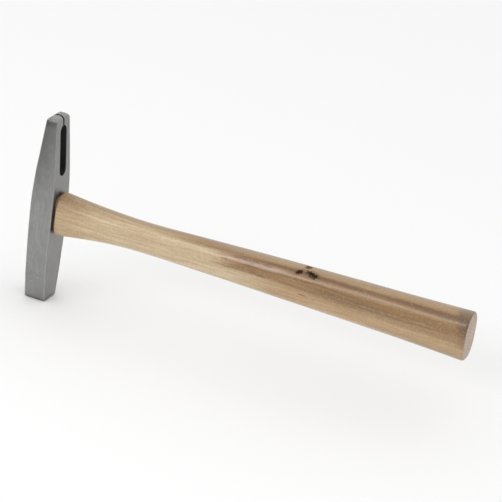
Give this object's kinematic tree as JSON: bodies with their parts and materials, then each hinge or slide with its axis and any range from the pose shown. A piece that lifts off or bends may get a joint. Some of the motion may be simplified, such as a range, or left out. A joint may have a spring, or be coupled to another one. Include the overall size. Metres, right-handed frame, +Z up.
{
  "type": "magnetic tack hammer",
  "caption": "Light hammer with a slim square-faced steel head, a split horseshoe-shaped magnetic end, and a flared wooden handle wedged into the eye.",
  "frame": {"origin": "centre of the square striking face", "axes": "+Z up the head from the striking face to the split end, +X along the handle from the head to the butt, Y across the hammer's width"},
  "size_m": [0.2674, 0.0206, 0.1144],
  "materials": {
    "head_steel": "belt-ground steel, fine lines along the head, dark scale left inside the gap",
    "handle_wood": "clear-coated hickory, straight grain along the handle",
    "wedge_wood": "plain end grain",
    "wedge_steel": "ground flush, dull"
  },
  "bodies": {
    "root": {"head": "head_steel", "handle": "handle_wood", "wood_wedge": "wedge_wood", "steel_wedge": "wedge_steel"}
  },
  "joints": []
}
